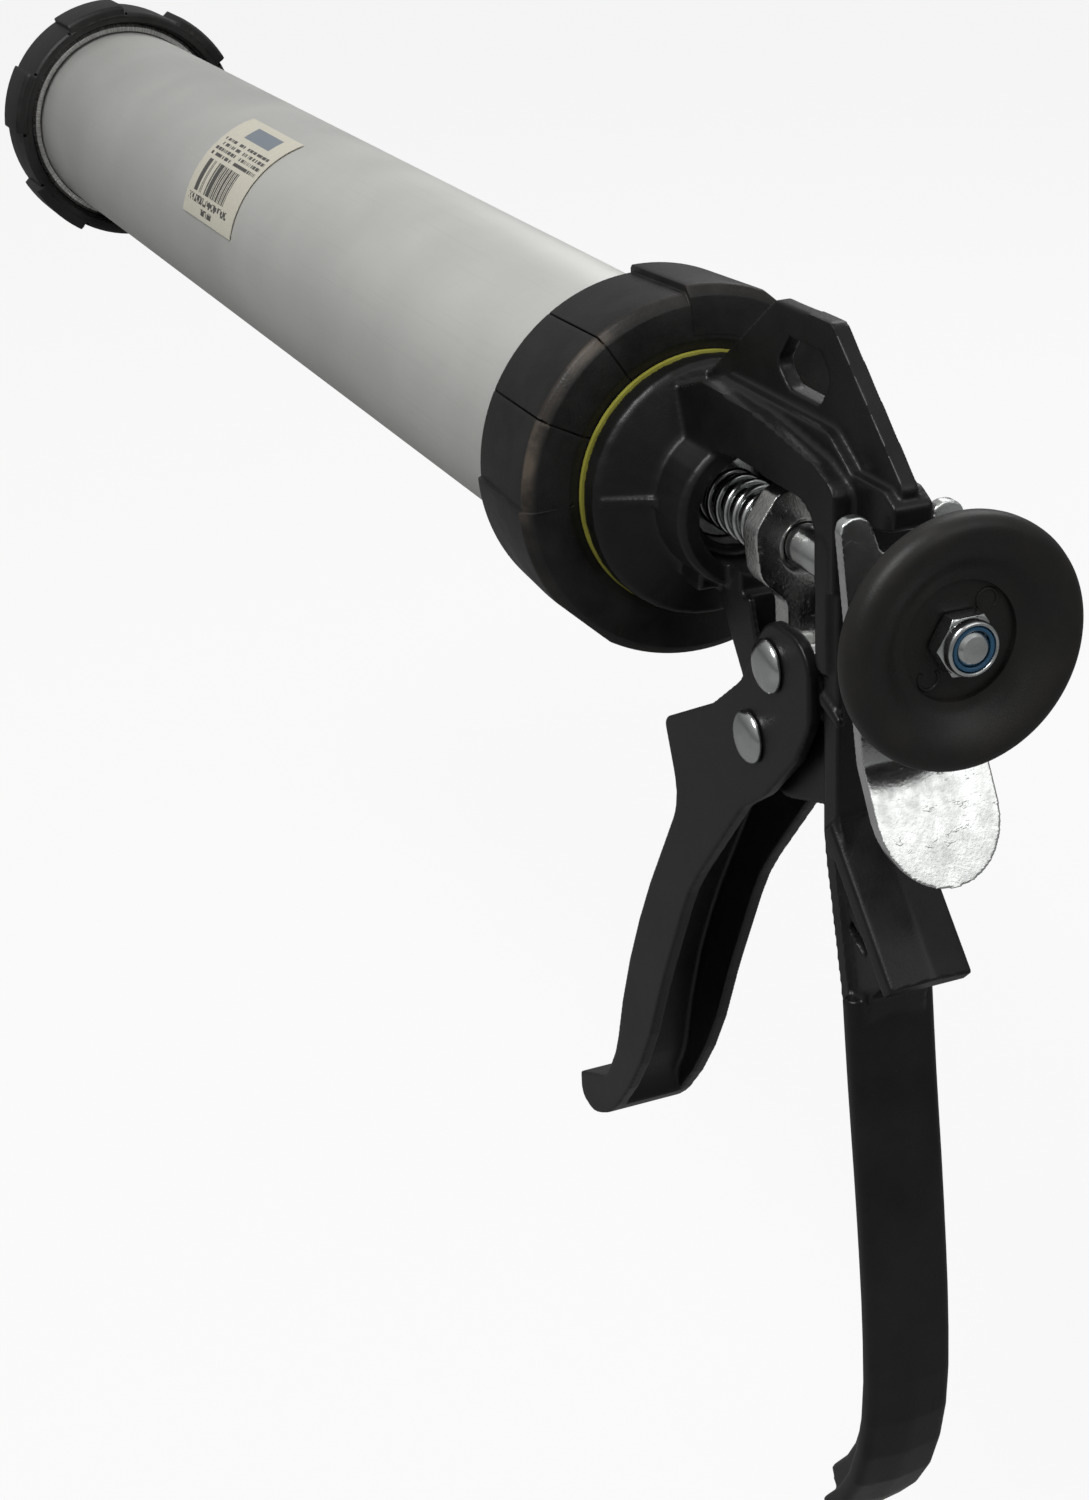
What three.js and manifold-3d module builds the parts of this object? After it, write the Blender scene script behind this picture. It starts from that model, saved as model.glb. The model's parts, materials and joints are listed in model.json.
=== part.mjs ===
// Sausage-pack caulking gun: an aluminium barrel that swivels on a cast handle, a notched ring nut at
// the front, a push rod with a piston and a dished pull knob, and a squeeze trigger that drives the rod.
//
// Everything is laid out about the barrel's axis: +X runs forward to the nozzle end, +Y is the gun's
// left and +Z is up, in millimetres, with x = 0 where the barrel's collar meets the handle. The last
// lines move the whole gun so that its origin is the middle of the hand grip.

import * as THREE from 'three';
import { mergeVertices } from 'three/addons/utils/BufferGeometryUtils.js';
import Module from 'manifold-3d';

const wasm = await Module();
wasm.setup();

// ---------------------------------------------------------------- driving dimensions

const GAP = 0.3; // clearance left between pieces that touch
const ARC_STEP = Math.PI / 14; // widest step along a rounded corner
const GRIP_CENTRE = new THREE.Vector3(-75, 0, -120);

const BARREL_R = 28.5;
const BARREL_WALL = 1.75;
const BARREL_BORE_R = BARREL_R - BARREL_WALL;
const BARREL_BACK = 8.3;
const BARREL_FRONT = 432;

const COLLAR_WALL = 7.5;
const COLLAR_LOBE_RISE = 0.8; // how far the raised quarters sit above the axis
const COLLAR_R = BARREL_R + GAP + COLLAR_WALL;
const COLLAR_LOBE_R = COLLAR_R + 0.7;
const COLLAR_FLAT = COLLAR_R - 0.7; // from the axis to the flat on each raised quarter
const COLLAR_LIP = 20; // how far the collar reaches over the barrel
const COLLAR_FRONT = BARREL_BACK - GAP + COLLAR_LIP;
const COLLAR_LOBES = 2;
const COLLAR_LOBE_AT = THREE.MathUtils.degToRad(133);
const COLLAR_LOBE_ANGLE = Math.PI / 2;

const HUB_R = 16.9;
const HUB_FRONT = 13;
const FLANGE_R = 25.4;
const BOSS_R = 15;
const BOSS_BACK = -21.5;

const ROD_R = 4;
const STUD_STEP = 1;
const STUD_R = ROD_R - STUD_STEP;
const ROD_BACK = -92;
const KNOB_R = 22.3;
const PISTON_SETBACK = 28.3; // from the rod's front shoulder to the barrel's front edge
const ROD_FRONT = BARREL_FRONT - PISTON_SETBACK;

const THREAD_DEPTH = 2.2;
const THREAD_R = BARREL_R + GAP + THREAD_DEPTH;
const THREAD_FIT = 0.35;
const THREAD_FRONT = BARREL_FRONT - 0.8;
const THREAD_BACK = THREAD_FRONT - 10.2;
const NUT_WALL = 3.95;
const NUT_R = THREAD_R + THREAD_FIT + NUT_WALL;
const NUT_LUG_R = NUT_R + 2;
const NUT_LUGS = 6;
const NUT_LUG_AT = THREE.MathUtils.degToRad(17);
const NUT_LUG_ANGLE = Math.PI / 6;
const NUT_BACK = THREAD_BACK - 4;
const ADAPTOR_R = THREAD_R - 0.5;
const ADAPTOR_BACK = BARREL_FRONT + 2.3;
const ADAPTOR_RIM = 2.6;
const NUT_LIP = 2.8;
const NUT_FRONT = ADAPTOR_BACK + ADAPTOR_RIM + GAP + NUT_LIP;
const NUT_MOUTH_R = 24;

const ARM_HALF = 8;
const WEB_HALF = 5.2;
const EAR_HALF = 1.6;
const WALL_FRONT = -62;
const WALL_BACK = -67.3;

const PIVOT = new THREE.Vector2(-37.7, -37.3);
const DRIVE_PIN = new THREE.Vector2(-45.6, -20.4);
const PIVOT_R = 3;
const PIN_R = 2.5;
const RIVET_HEAD = 2.15; // how far a rivet's head reaches past its shank
const CHEEK_IN = WEB_HALF + 1.4;
const CHEEK_OUT = CHEEK_IN + 2.6;

const BUSH_R = ROD_R + 3.2;
const BUSH_FLANGE_R = BUSH_R + 0.9;

const DRIVE_PLATE_BACK = -42.8;
const DRIVE_PLATE_FRONT = -36.8;
const SPRING_WIRE_R = 0.6;
const SPRING_R = ROD_R + 0.9 + SPRING_WIRE_R;

// ---------------------------------------------------------------- materials

const finish = (color, roughness, metalness) => new THREE.MeshStandardMaterial({ color, roughness, metalness });
const anodised = finish(0xa3a5a3, 0.45, 0.85);
const blackCast = finish(0x1f1f1e, 0.5, 0.2);
const blackNylon = finish(0x2a2a28, 0.6, 0);
const zinc = finish(0xc9ccca, 0.28, 1);
const chrome = finish(0xe6e8e8, 0.15, 1);
const oliveYellow = finish(0xa8a83a, 0.5, 0);
const blueNylon = finish(0x7fb3cc, 0.5, 0);
const whiteNylon = finish(0xd8d8d2, 0.5, 0);
const rubber = finish(0x191919, 0.8, 0);
const paper = finish(0xdcd9cc, 0.7, 0);

// ---------------------------------------------------------------- solids

const X = new THREE.Vector3(1, 0, 0);
const Y = new THREE.Vector3(0, 1, 0);
const Z = new THREE.Vector3(0, 0, 1);

/** A closed solid from a geometry, with its faces turned outwards. */
function solidOf(geometry) {
  geometry.deleteAttribute('normal');
  geometry.deleteAttribute('uv');
  const merged = mergeVertices(geometry, 1e-4);
  const points = merged.attributes.position;
  const [a, b, c] = [new THREE.Vector3(), new THREE.Vector3(), new THREE.Vector3()];
  const faces = [];
  let volume = 0;
  for (let i = 0; i < merged.index.count; i += 3) {
    const corners = [0, 1, 2].map((k) => merged.index.getX(i + k));
    if (new Set(corners).size < 3) continue;
    [a, b, c].forEach((v, k) => v.fromBufferAttribute(points, corners[k]));
    volume += a.dot(b.cross(c));
    faces.push(corners);
  }
  const triVerts = new Uint32Array(faces.flatMap(([i, j, k]) => (volume > 0 ? [i, j, k] : [i, k, j])));
  return new wasm.Manifold(new wasm.Mesh({ numProp: 3, vertProperties: points.array, triVerts }));
}

const joined = (...solids) => solids.reduce((all, next) => all.add(next));
const cut = (solid, ...tools) => tools.reduce((left, tool) => left.subtract(tool), solid);

/** A solid turned about the barrel's axis from its closed outline of [x, radius] points. */
function turned(outline, segments = 36) {
  const points = outline.map(([x, r]) => new THREE.Vector2(r, x));
  points.push(points[0].clone());
  const geometry = new THREE.LatheGeometry(points, segments);
  geometry.rotateZ(-Math.PI / 2);
  return solidOf(geometry);
}

const ring = (x0, x1, inner, outer, segments) => (
  turned([[x0, inner], [x0, outer], [x1, outer], [x1, inner]], segments));
const rod = (x0, x1, radius, segments) => turned([[x0, 0], [x0, radius], [x1, radius], [x1, 0]], segments);

/** A cross pin along Y, from its [y, radius] outline, centred on (x, z). */
function crossPin(centre, outline, segments = 20) {
  const points = outline.map(([y, r]) => new THREE.Vector2(r, y));
  points.push(points[0].clone());
  const geometry = new THREE.LatheGeometry(points, segments);
  geometry.translate(centre.x, 0, centre.y);
  return solidOf(geometry);
}

/** The points of an outline whose corners [a, b, radius] are rounded to their own radius. */
function rounded(corners, arcStep = ARC_STEP) {
  const points = [];
  corners.forEach(([a, b, radius = 0], i) => {
    const here = new THREE.Vector2(a, b);
    if (radius === 0) {
      points.push(here);
      return;
    }
    const before = new THREE.Vector2(...corners.at(i - 1).slice(0, 2)).sub(here).normalize();
    const after = new THREE.Vector2(...corners[(i + 1) % corners.length].slice(0, 2)).sub(here).normalize();
    const half = Math.acos(THREE.MathUtils.clamp(before.dot(after), -1, 1)) / 2;
    const middle = before.clone().add(after).normalize();
    const centre = here.clone().addScaledVector(middle, radius / Math.sin(half));
    const start = here.clone().addScaledVector(before, radius / Math.tan(half)).sub(centre);
    const sweep = Math.PI - 2 * half;
    const turn = Math.sign(start.cross(here.clone().addScaledVector(after, radius / Math.tan(half)).sub(centre)));
    const steps = Math.max(1, Math.ceil(sweep / arcStep));
    for (let k = 0; k <= steps; k += 1) {
      points.push(start.clone().rotateAround(new THREE.Vector2(), turn * sweep * (k / steps)).add(centre));
    }
  });
  return points;
}

/** A plate drawn side-on in (x, z) and extruded across the gun from y0 to y1. */
function sidePlate(corners, y0, y1, holes = []) {
  const shape = new THREE.Shape(rounded(corners));
  shape.holes = holes.map((hole) => new THREE.Path(rounded(hole)));
  const geometry = new THREE.ExtrudeGeometry(shape, { depth: y1 - y0, bevelEnabled: false });
  geometry.applyMatrix4(new THREE.Matrix4().makeBasis(X, Z, Y.clone().negate()));
  geometry.translate(0, y1, 0);
  return solidOf(geometry);
}
const across = (corners, half, holes) => sidePlate(corners, -half, half, holes);

/** A plate drawn end-on in (y, z) and extruded along the barrel from x0 to x1. */
function endPlate(shape, x0, x1, curveSegments = 12) {
  const geometry = new THREE.ExtrudeGeometry(shape, { depth: x1 - x0, bevelEnabled: false, curveSegments });
  geometry.applyMatrix4(new THREE.Matrix4().makeBasis(Y, Z, X));
  geometry.translate(x0, 0, 0);
  return solidOf(geometry);
}

/** A regular prism along X with its corners on the given radius, such as a nut. */
const prism = (x0, x1, radius, sides) => rod(x0, x1, radius, sides);

/** Wedges about the barrel's axis that keep every second stretch of a notched ring. */
function wedges(x0, x1, radius, count, angle, firstAngle) {
  const parts = [];
  for (let i = 0; i < count; i += 1) {
    const middle = firstAngle + (i * 2 * Math.PI) / count;
    const shape = new THREE.Shape();
    shape.moveTo(0, 0);
    shape.absarc(0, 0, radius, middle - angle / 2, middle + angle / 2, false);
    shape.lineTo(0, 0);
    parts.push(endPlate(shape, x0, x1, 3));
  }
  return joined(...parts);
}

/** A round wire wound about the barrel's axis, with a flat coil at each end. */
function coil(x0, x1, radius, wireR, turns) {
  class Helix extends THREE.Curve {
    getPoint(t, target = new THREE.Vector3()) {
      const angle = 2 * Math.PI * turns * t;
      const flat = 0.5 / turns;
      const along = THREE.MathUtils.clamp((t - flat) / (1 - 2 * flat), 0, 1);
      const x = x0 + wireR + (x1 - x0 - 2 * wireR) * along;
      return target.set(x, radius * Math.cos(angle), radius * Math.sin(angle));
    }
  }
  const section = new THREE.Shape();
  section.absarc(0, 0, wireR, 0, 2 * Math.PI, false);
  const options = { steps: Math.round(turns * 10), extrudePath: new Helix(), curveSegments: 3, bevelEnabled: false };
  return solidOf(new THREE.ExtrudeGeometry(section, options));
}

const gun = new THREE.Group();

/** Adds a finished solid to the gun as one named mesh. */
function place(name, solid, material) {
  const { vertProperties, triVerts } = solid.getMesh();
  const geometry = new THREE.BufferGeometry();
  geometry.setAttribute('position', new THREE.BufferAttribute(vertProperties, 3));
  geometry.setIndex(new THREE.BufferAttribute(triVerts, 1));
  geometry.computeVertexNormals();
  const mesh = new THREE.Mesh(geometry, material);
  mesh.name = name;
  mesh.position.copy(GRIP_CENTRE).negate();
  gun.add(mesh);
}

// ---------------------------------------------------------------- handle casting

/** Flange and hub that carry the barrel, and the boss that houses the return spring. */
function handleHead() {
  const hubBore = BUSH_R + GAP;
  const seatBore = BUSH_FLANGE_R + GAP;
  const mouthBore = SPRING_R + 5.5;
  const seatX = -8;
  const mouthX = -15;
  const clipGroove = HUB_R - 1.6;
  return turned([
    [seatX, hubBore], [HUB_FRONT, hubBore], [HUB_FRONT, HUB_R - 1], [HUB_FRONT - 1, HUB_R],
    [11.9, HUB_R], [11.9, clipGroove], [10.4, clipGroove], [10.4, HUB_R], [-0.6, HUB_R],
    [-0.6, FLANGE_R], [-5, FLANGE_R], [-5.9, FLANGE_R - 0.8], [-9.6, BOSS_R + 1], [-10.4, BOSS_R],
    [BOSS_BACK + 1, BOSS_R], [BOSS_BACK, BOSS_R - 1], [BOSS_BACK, mouthBore],
    [mouthX, mouthBore], [mouthX, seatBore], [seatX, seatBore],
  ]);
}

/** Arm over the mechanism, the wall behind it, and the hanging ear on top. */
function handleFrame() {
  const arm = across([
    [-4, 12.6], [-4, 20.5], [-17, 25.4, 8], [-40, 24.4, 30], [-60.5, 21.4, 8], [WALL_BACK, 18.6, 3.5],
    [WALL_BACK, 0], [-60.4, 0], [-60.4, 13.6, 6], [-30, 14.2], [-20, 12.6],
  ], ARM_HALF);
  const shoulder = across([[-12, 20], [-16, 25.8, 3], [-58, 25.8, 6], [-66.4, 20.5, 3], [-66.4, 16], [-12, 16]], 4.2);
  const eye = [
    [-39.4, 37.9, 2.4], [-51.4, 37.9, 3.2], [-54.6, 33.4, 2.6], [-50.6, 28.3, 2.4], [-39.2, 28.3, 2.4],
    [-34.4, 32, 2],
  ];
  const ear = across([
    [-5.5, 15], [-5.5, 21.5], [-6.8, 23.4, 1.5], [-34, 43.2, 3], [-54.8, 43.7, 2.5], [-79.6, 21, 2], [-78, 16],
    [-66, 13],
  ], EAR_HALF, [eye]);
  const foot = across([
    [-66, 13.2], [-66, 20.6], [-76.6, 20.6, 1.5], [-80.4, 18.6, 1.2], [-80.4, 14.4, 1.5], [-73.6, 12.8, 1],
  ], 3.8);
  const wall = across([
    [-60.4, 6], [-60.4, -14.5, 2], [WALL_FRONT, -17.5], [WALL_FRONT, -48, 2], [-65, -51, 2],
    [-71.5, -48.5], [WALL_BACK, -42, 4], [WALL_BACK, 6],
  ], ARM_HALF - 0.8);
  const bar = [[-60.6, 9, 2], [-60.6, -16, 2.2], [-65.4, -16, 2.2], [-65.4, 9, 2]];
  const ledge = [[-62, -19.4, 0.8], [-62, -21.8, 0.8], [-69.4, -24.6, 0.8], [-69.4, -22.4, 0.8]];
  const bars = [-1, 1].flatMap((side) => {
    const [inner, outer] = [side * (ARM_HALF - 1.4), side * (ARM_HALF + 0.2)].sort((p, q) => p - q);
    return [sidePlate(bar, inner, outer), sidePlate(ledge, inner, outer)];
  });
  return joined(arm, shoulder, ear, foot, wall, ...bars);
}

/** Leg from the boss down to the trigger's pivot, and the web back to the wall. */
function handleWeb() {
  const web = across([
    [-9, -9], [-9, -12], [-15.3, -14.6, 4], [-22, -23.9, 14], [-27, -31], [-27.4, -39, 6], [-33, -47, 6],
    [-44, -48.2, 8], [-58.5, -43.6, 4], [-61, -44], [-64, -44], [-64, -27.6], [-34.5, -27.6, 4], [-31.4, -19, 10],
    [-28, -9],
  ], WEB_HALF);
  const ribs = across([[-10, -9], [-10, -15.6, 1.5], [-18, -15.6, 2], [-18, -9]], 9.4);
  const skirt = turned([
    [-4, 13], [-4, FLANGE_R - 0.4], [-6.6, FLANGE_R - 1], [-10.5, BOSS_R + 1.2], [-11.6, BOSS_R + 0.2], [-11.6, 13],
  ]);
  const fins = [[BOSS_R - 1, FLANGE_R], [-FLANGE_R, 1 - BOSS_R]].map(([y0, y1]) => (
    skirt.intersect(sidePlate([[-3, 0.7], [-3, 2], [-13, 2], [-13, 0.7]], y0, y1))));
  const tailSlot = across([[-27.7, -8], [-27.7, -27, 1], [-40, -27], [-40, -8]], 3.9);
  const headRoom = across([[-26.4, -8], [-26.4, -13.8, 1], [-40, -13.8], [-40, -8]], WEB_HALF + 1);
  return cut(joined(web, ribs, ...fins), tailSlot, headRoom);
}

/** Sloping hood that stops the hand, with the narrow neck below it. */
function handleHood() {
  const start = new THREE.Vector3(-66.6, 0, -43.2);
  const end = new THREE.Vector3(-88.6, 0, -66.6);
  const slope = end.clone().sub(start);
  const normal = new THREE.Vector3(slope.z, 0, -slope.x).normalize();
  const [thick, half, ridge] = [4, 8.25, 1.7];
  const roof = new THREE.Shape(rounded([
    [-half, -thick, 0.6], [half, -thick, 0.6], [half, 0, 0.8], [0, ridge, 3], [-half, 0, 0.8],
  ]));
  const geometry = new THREE.ExtrudeGeometry(roof, { depth: slope.length(), bevelEnabled: false });
  const rearUp = normal.x < 0 ? normal : normal.clone().negate();
  const forward = slope.clone().normalize();
  geometry.applyMatrix4(new THREE.Matrix4().makeBasis(rearUp.clone().cross(forward), rearUp, forward));
  geometry.translate(start.x, start.y, start.z);
  const neck = across([
    [-62, -44], [-62.2, -50, 4], [-67, -74], [-68.4, -84], [-75, -84], [-77.4, -74, 3], [-84.6, -67],
    [-68, -48],
  ], 6);
  const stripe = across([[-62, -46], [-62.4, -51, 3], [-69.2, -80], [-72.4, -80], [-66, -50]], 7);
  const slot = across([[-70.2, -61.4, 0.9], [-76.4, -64.6, 0.9], [-75.3, -66.7, 0.9], [-69.1, -63.5, 0.9]], 10);
  return cut(joined(solidOf(geometry), neck, stripe), slot);
}

/** Hand grip: a ridged bar swept along its gentle curve, with a thicker bead down the front. */
function handleGrip() {
  const path = new THREE.CatmullRomCurve3([
    [-73.3, -75.5], [-75.2, -92], [-78.7, -118], [-81.2, -143], [-81.4, -160], [-79, -172.5], [-73.8, -184.5],
    [-65.5, -194.5],
  ].map(([x, z]) => new THREE.Vector3(x, 0, z)));
  const section = new THREE.Shape(rounded([
    [-8.8, -1.8, 1], [-5.4, -2.4, 0.8], [-4.6, -7.4, 1.5], [4.6, -7.4, 1.5], [5.4, -2.4, 0.8], [8.8, -1.8, 1],
    [8.8, 1.7, 1.8], [0, 2.7, 12], [-8.8, 1.7, 1.8],
  ]));
  return solidOf(new THREE.ExtrudeGeometry(section, { steps: 14, extrudePath: path, bevelEnabled: false }));
}

function handleBody() {
  const body = joined(handleHead(), handleFrame(), handleWeb(), handleHood(), handleGrip());
  const rodHole = rod(-100, -50, ROD_R + 0.6, 24);
  const springRoom = rod(BOSS_BACK - 40, BOSS_BACK + 6.5, SPRING_R + 5.1, 32);
  const pivotHole = crossPin(PIVOT, [[-20, 0], [-20, PIVOT_R + GAP], [20, PIVOT_R + GAP], [20, 0]]);
  const frameOnly = cut(springRoom, rod(-100, -60.2, 40, 24));
  return cut(body, rodHole, frameOnly, pivotHole);
}

place('handle_body', handleBody(), blackCast);

// ---------------------------------------------------------------- swivel between handle and barrel

place('swivel_washer', ring(-0.3, 0.7, HUB_R + GAP, FLANGE_R + 0.2), oliveYellow);
place('swivel_retainer', ring(BARREL_BACK + 0.1, BARREL_BACK + 1.8, HUB_R + GAP, BARREL_BORE_R - 1.15), zinc);

function retainerClip() {
  const band = ring(10.7, 11.6, HUB_R - 1.3, HUB_R + 1.6);
  const mouth = new THREE.Shape(rounded([[-3, 10], [3, 10], [3, 22], [-3, 22]]));
  return cut(band, endPlate(mouth, 9, 13));
}
place('retainer_clip', retainerClip(), zinc);

place('rod_bush', turned([
  [-9.4, ROD_R + 0.25], [-9.4, BUSH_FLANGE_R], [-8.3, BUSH_FLANGE_R], [-8.3, BUSH_R], [HUB_FRONT, BUSH_R],
  [HUB_FRONT, ROD_R + 0.25],
], 32), zinc);

// ---------------------------------------------------------------- barrel

place('barrel_tube', ring(BARREL_BACK, BARREL_FRONT, BARREL_BORE_R, BARREL_R, 60), anodised);

/** Collar that holds the barrel's back end, with two raised quarters, each with a flat. */
function rearCollar() {
  const backWall = BARREL_BACK - GAP;
  const outer = (r) => [
    [1, 26.4], [0.6, 27.6], [1, r - 1.6], [1.8, r - 0.5], [3.4, r], [COLLAR_FRONT - 0.8, r - 1.2],
    [COLLAR_FRONT, r - 2],
  ];
  const bore = [[COLLAR_FRONT, BARREL_R + GAP], [backWall, BARREL_R + GAP], [backWall, HUB_R + GAP], [1, HUB_R + GAP]];
  const plain = turned([...outer(COLLAR_R), ...bore]);
  const buried = COLLAR_R - 4.3;
  const raised = turned([...outer(COLLAR_LOBE_R), [COLLAR_FRONT, buried], [1, buried]]);
  const keep = wedges(-1, COLLAR_FRONT + 1, COLLAR_LOBE_R + 5, COLLAR_LOBES, COLLAR_LOBE_ANGLE, COLLAR_LOBE_AT);
  const beyond = new THREE.Shape([[0, -1], [1, -1], [1, 1], [0, 1]].map(([y, z]) => (
    new THREE.Vector2(COLLAR_FLAT + y * COLLAR_R, z * COLLAR_R))));
  const flats = [0, Math.PI].map((turn) => (
    endPlate(beyond, -2, COLLAR_FRONT + 2).rotate([THREE.MathUtils.radToDeg(COLLAR_LOBE_AT + turn), 0, 0])));
  return cut(joined(plain, raised.translate([0, 0, COLLAR_LOBE_RISE]).intersect(keep)), ...flats);
}
place('rear_collar', rearCollar(), blackNylon);

place('thread_ring', turned([
  [THREAD_BACK, BARREL_R + GAP], [THREAD_BACK, THREAD_R - 0.6], [THREAD_BACK + 0.6, THREAD_R],
  [THREAD_FRONT - 0.6, THREAD_R], [THREAD_FRONT, THREAD_R - 0.6], [THREAD_FRONT, BARREL_R + GAP],
]), zinc);

/** Paper label wrapped on the barrel's upper left side. */
function barrelLabel() {
  const [x0, x1, low, high] = [216.5, 258.5, 0.235, 1.35];
  const sheet = ring(x0, x1, BARREL_R + GAP, BARREL_R + GAP + 0.2, 120);
  const sector = new THREE.Shape();
  sector.moveTo(0, 0);
  sector.absarc(0, 0, 60, low, high, false);
  sector.lineTo(0, 0);
  return sheet.intersect(endPlate(sector, x0 - 1, x1 + 1));
}
place('barrel_label', barrelLabel(), paper);

// ---------------------------------------------------------------- front end

place('adaptor_gasket', ring(BARREL_FRONT + GAP, ADAPTOR_BACK - GAP, BARREL_BORE_R - 1.35, ADAPTOR_R - 0.1), rubber);

place('nozzle_adaptor', turned([
  [0, 8], [0, ADAPTOR_R], [ADAPTOR_RIM, ADAPTOR_R], [ADAPTOR_RIM, NUT_MOUTH_R - 1], [7.7, NUT_MOUTH_R - 2], [10.2, 11.5],
  [23.7, 11], [24.7, 10], [24.7, 8],
].map(([x, r]) => [ADAPTOR_BACK + x, r])), blackNylon);

/** Ring nut with six grip lugs, threaded inside and lipped at the front. */
function ringNut() {
  const bore = [
    [NUT_FRONT, NUT_MOUTH_R], [NUT_FRONT - NUT_LIP, NUT_MOUTH_R], [NUT_FRONT - NUT_LIP, THREAD_R + THREAD_FIT],
    [NUT_BACK + 3.6, THREAD_R + THREAD_FIT], [NUT_BACK + 3, THREAD_R + 1.2], [NUT_BACK, THREAD_R + 1.2],
  ];
  const outer = (r, front) => [[NUT_BACK, r - 1], [NUT_BACK + 1, r], [front - 1.5, r], [front, r - 1.5]];
  const plain = turned([...outer(NUT_R, NUT_FRONT), ...bore]);
  const raised = turned([...outer(NUT_LUG_R, NUT_FRONT - 4), [NUT_FRONT - 4, NUT_R - 1.7], [NUT_BACK, NUT_R - 1.7]]);
  const keep = wedges(NUT_BACK - 1, NUT_FRONT + 1, NUT_LUG_R + 6, NUT_LUGS, NUT_LUG_ANGLE, NUT_LUG_AT);
  return joined(plain, raised.intersect(keep));
}
place('ring_nut', ringNut(), blackNylon);

// ---------------------------------------------------------------- push rod

place('piston_rod', turned([
  [-100.4, 0], [-100.4, STUD_R - 0.5], [-99.9, STUD_R], [ROD_BACK, STUD_R], [ROD_BACK, ROD_R], [ROD_FRONT, ROD_R],
  [ROD_FRONT, STUD_R], [ROD_FRONT + 16.3, STUD_R], [ROD_FRONT + 16.9, STUD_R - 0.6], [ROD_FRONT + 16.9, 0],
], 24), zinc);

/** Dished pull knob. */
function pullKnob() {
  const dish = [
    [-94.8, STUD_R + GAP], [-94.8, KNOB_R - 11.65], [-95.6, KNOB_R - 10.3], [-97.6, KNOB_R - 7.9],
    [-99, KNOB_R - 5.3], [-99.5, KNOB_R - 3.1], [-99.3, KNOB_R - 1.5], [-98.3, KNOB_R - 0.4], [-96.6, KNOB_R],
    [-94.6, KNOB_R - 0.2], [-93.6, KNOB_R - 1.1], [-92.3, 9],
    [-92.3, STUD_R + GAP],
  ];
  return turned(dish, 40);
}
place('pull_knob', pullKnob(), blackNylon);

function lockNut() {
  const hex = prism(-98.4, -95.1, STUD_R + 2.9, 6);
  const body = joined(hex, rod(-100.3, -98, STUD_R + 2.05, 32));
  return cut(body, rod(-101, -94, STUD_R + GAP, 24), rod(-101, -98.6, STUD_R + 1.5, 24));
}
place('lock_nut', lockNut(), zinc);
place('lock_nut_insert', ring(-100.1, -98.9, STUD_R + GAP, STUD_R + 1.2, 24), blueNylon);

const stacked = (x0, x1) => [ROD_FRONT + x0, ROD_FRONT + x1];
place('piston_back_washer', ring(...stacked(0.3, 1.5), STUD_R + GAP, STUD_R + 7, 32), zinc);
place('piston_disc', ring(...stacked(1.8, 5.8), STUD_R + GAP, BARREL_BORE_R - 0.75), whiteNylon);
place('piston_seal', turned([
  [6.1, STUD_R + GAP], [6.1, BARREL_BORE_R - 1.75], [9.9, BARREL_BORE_R - 0.35], [11.9, BARREL_BORE_R - 0.35],
  [11.9, BARREL_BORE_R - 1.35], [9.1, BARREL_BORE_R - 3.25], [9.1, STUD_R + GAP],
].map(([x, r]) => [ROD_FRONT + x, r])), rubber);
place('piston_front_washer', ring(...stacked(9.4, 10.6), STUD_R + GAP, STUD_R + 6, 32), zinc);
const pistonNut = prism(...stacked(10.9, 14.9), STUD_R + 2.9, 6);
place('piston_nut', cut(pistonNut, rod(...stacked(10, 16), STUD_R + GAP, 24)), zinc);

// ---------------------------------------------------------------- drive

/** Thick steel plate that grips the rod and is pushed forward at its tail. */
function drivePlate() {
  const outline = new THREE.Shape(rounded([
    [-5.5, 11, 4], [5.5, 11, 4], [10.4, 4, 5], [9.4, -5, 5], [4, -10, 3], [3.4, -26, 1.4], [-3.4, -26, 1.4],
    [-4, -10, 3], [-9.4, -5, 5], [-10.4, 4, 5],
  ]));
  const bore = turned([
    [DRIVE_PLATE_BACK - 1, 0], [DRIVE_PLATE_BACK - 1, ROD_R + 1.4], [DRIVE_PLATE_BACK, ROD_R + 1.4],
    [DRIVE_PLATE_BACK + 1, ROD_R + 0.25], [DRIVE_PLATE_FRONT - 0.6, ROD_R + 0.25],
    [DRIVE_PLATE_FRONT, ROD_R + 0.9], [DRIVE_PLATE_FRONT + 1, ROD_R + 0.9], [DRIVE_PLATE_FRONT + 1, 0],
  ], 32);
  return cut(endPlate(outline, DRIVE_PLATE_BACK, DRIVE_PLATE_FRONT), bore);
}
place('drive_plate', drivePlate(), zinc);

place('drive_spring', coil(DRIVE_PLATE_FRONT + GAP, -9.4 - GAP, SPRING_R, SPRING_WIRE_R, 7), zinc);

// ---------------------------------------------------------------- trigger

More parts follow.
